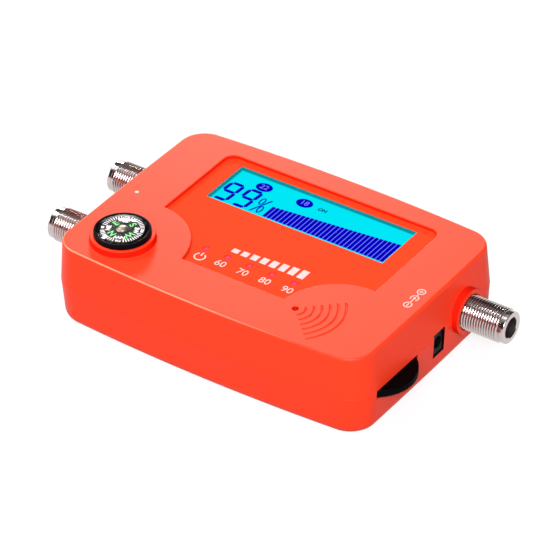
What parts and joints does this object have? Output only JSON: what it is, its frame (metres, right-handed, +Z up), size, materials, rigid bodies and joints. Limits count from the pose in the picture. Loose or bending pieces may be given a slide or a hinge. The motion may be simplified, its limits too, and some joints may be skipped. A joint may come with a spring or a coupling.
{
  "type": "satellite signal meter",
  "caption": "Hand-held satellite signal meter in a two-shell plastic case, with a digital display, indicator lights, a compass, a thumb wheel, a buzzer and threaded coaxial sockets.",
  "frame": {"origin": "middle of the underside, on the surface that the case rests on", "axes": "+X along the case towards the end with one coaxial socket and the thumb wheel, +Y towards the back with the display, +Z up"},
  "size_m": [0.1255, 0.0696, 0.0282],
  "materials": {
    "case_plastic": "satin orange-red plastic",
    "window_plastic": "clear plastic",
    "display_glass": "lit cyan display panel",
    "light_guide": "white light guide",
    "black_plastic": "black plastic",
    "light_plastic": "tinted clear plastic",
    "card_plastic": "printed black card",
    "lens_plastic": "clear dome",
    "pivot_steel": "steel pin",
    "nickel_plate": "nickel plate",
    "socket_insulator": "black plastic",
    "contact_brass": "plated brass",
    "potentiometer_body": "blue plastic",
    "circuit_board": "green laminate",
    "tinned_sheet": "tinned sheet",
    "chip_resin": "moulded resin",
    "screw_steel": "zinc-plated steel"
  },
  "bodies": {
    "case": {"upper_case": "case_plastic", "lower_case": "case_plastic", "case_screw_1": "screw_steel", "case_screw_2": "screw_steel", "case_screw_3": "screw_steel", "case_screw_4": "screw_steel", "display_window": "window_plastic", "display_panel": "display_glass", "display_backlight": "light_guide", "display_frame": "black_plastic", "power_light": "light_plastic", "light_60": "light_plastic", "light_70": "light_plastic", "light_80": "light_plastic", "light_90": "light_plastic", "compass_cup": "black_plastic", "compass_pivot": "pivot_steel", "compass_lens": "lens_plastic", "satellite_socket_shell": "nickel_plate", "satellite_socket_insulator": "socket_insulator", "satellite_socket_contact": "contact_brass", "antenna_socket_shell": "nickel_plate", "antenna_socket_insulator": "socket_insulator", "antenna_socket_contact": "contact_brass", "receiver_socket_shell": "nickel_plate", "receiver_socket_insulator": "socket_insulator", "receiver_socket_contact": "contact_brass", "dc_socket_body": "black_plastic", "dc_socket_pin": "nickel_plate", "potentiometer": "potentiometer_body", "main_board": "circuit_board", "display_board": "circuit_board", "tuner_shield": "tinned_sheet", "tuner_chip": "chip_resin", "controller_chip": "chip_resin", "voltage_regulator": "chip_resin", "supply_capacitor": "tinned_sheet", "header_plug": "black_plastic", "header_socket": "black_plastic", "buzzer": "black_plastic", "main_board_screw_1": "screw_steel", "main_board_screw_2": "screw_steel", "main_board_screw_3": "screw_steel", "main_board_screw_4": "screw_steel", "display_board_screw_1": "screw_steel", "display_board_screw_2": "screw_steel", "display_board_screw_3": "screw_steel", "display_board_screw_4": "screw_steel"},
    "thumb_wheel": {"thumb_wheel": "black_plastic"},
    "compass_card": {"compass_card": "card_plastic"}
  },
  "joints": [
    {"name": "thumb_wheel_turn", "type": "hinge", "parent": "case", "child": "thumb_wheel", "pos_m": [0.0423, -0.0163, 0.0105], "axis": [0, 0, 1], "range_deg": [-135, 135]},
    {"name": "compass_card_turn", "type": "hinge", "parent": "case", "child": "compass_card", "pos_m": [-0.033, -0.0208, 0.025], "axis": [0, 0, 1], "continuous": true}
  ]
}
